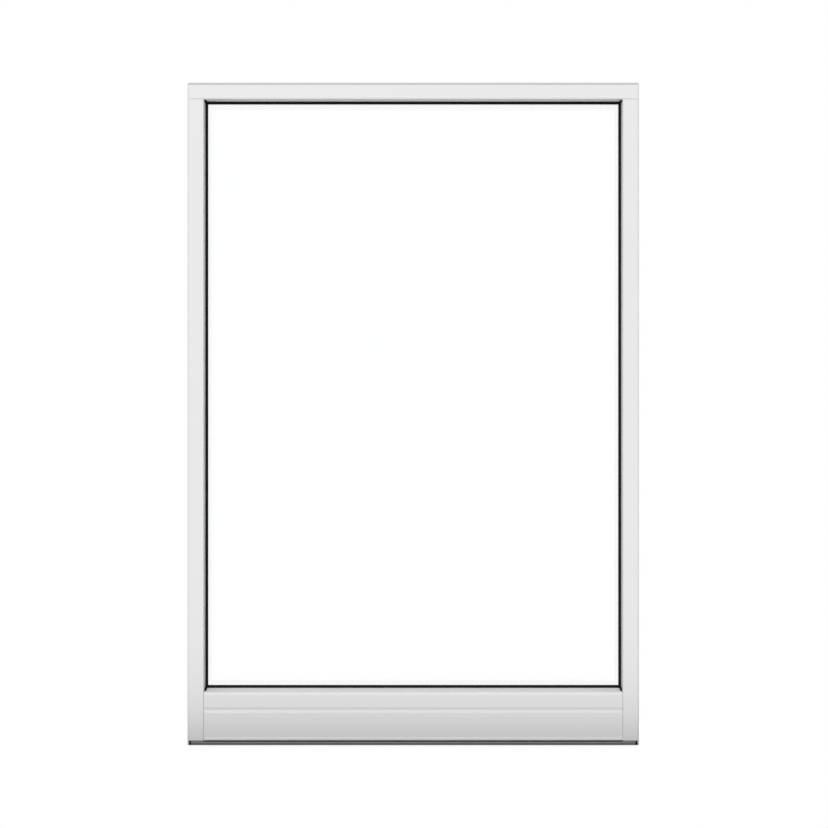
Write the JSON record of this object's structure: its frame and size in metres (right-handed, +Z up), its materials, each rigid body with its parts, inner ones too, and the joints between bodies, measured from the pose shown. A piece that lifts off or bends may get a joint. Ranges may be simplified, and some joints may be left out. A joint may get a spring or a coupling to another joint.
{
  "type": "fixed picture window",
  "caption": "White fixed picture window with a clear double glazed unit, black gaskets, a sloped bottom bead and a dark sub-sill.",
  "frame": {"origin": "under the middle of the sub-sill, half way through the frame's depth", "axes": "+Z up, -Y towards the weather side, +X to the right as seen from outside"},
  "size_m": [0.88, 0.075, 1.29],
  "materials": {
    "white_aluminium": "satin white powder coat",
    "white_plastic": "satin white",
    "strip_rubber": "matt light grey",
    "break_plastic": "matt black",
    "gasket_rubber": "matt black",
    "clear_glass": "polished",
    "spacer_plastic": "matt black",
    "block_plastic": "matt dark grey",
    "sub_sill_plastic": "matt warm dark grey",
    "dam_rubber": "matt black"
  },
  "bodies": {
    "root": {"head_outer_frame": "white_aluminium", "head_inner_frame": "white_aluminium", "left_jamb_outer_frame": "white_aluminium", "left_jamb_inner_frame": "white_aluminium", "right_jamb_outer_frame": "white_aluminium", "right_jamb_inner_frame": "white_aluminium", "sill_outer_frame": "white_aluminium", "sill_inner_frame": "white_aluminium", "bottom_glazing_bead": "white_aluminium", "left_head_end_cap": "white_plastic", "right_head_end_cap": "white_plastic", "left_sub_sill_end_plate": "white_plastic", "right_sub_sill_end_plate": "white_plastic", "head_weather_strip": "strip_rubber", "head_thermal_break": "break_plastic", "left_jamb_thermal_break": "break_plastic", "right_jamb_thermal_break": "break_plastic", "sill_thermal_break": "break_plastic", "top_outer_gasket": "gasket_rubber", "bottom_outer_gasket": "gasket_rubber", "left_outer_gasket": "gasket_rubber", "right_outer_gasket": "gasket_rubber", "top_inner_gasket": "gasket_rubber", "bottom_inner_gasket": "gasket_rubber", "left_inner_gasket": "gasket_rubber", "right_inner_gasket": "gasket_rubber", "top_left_corner_seal": "gasket_rubber", "top_right_corner_seal": "gasket_rubber", "bottom_left_corner_seal": "gasket_rubber", "bottom_right_corner_seal": "gasket_rubber", "outer_pane": "clear_glass", "inner_pane": "clear_glass", "top_spacer_bar": "spacer_plastic", "bottom_spacer_bar": "spacer_plastic", "left_spacer_bar": "spacer_plastic", "right_spacer_bar": "spacer_plastic", "left_setting_block": "block_plastic", "right_setting_block": "block_plastic", "sub_sill": "sub_sill_plastic", "left_sub_sill_end_dam": "dam_rubber", "right_sub_sill_end_dam": "dam_rubber"}
  },
  "joints": []
}
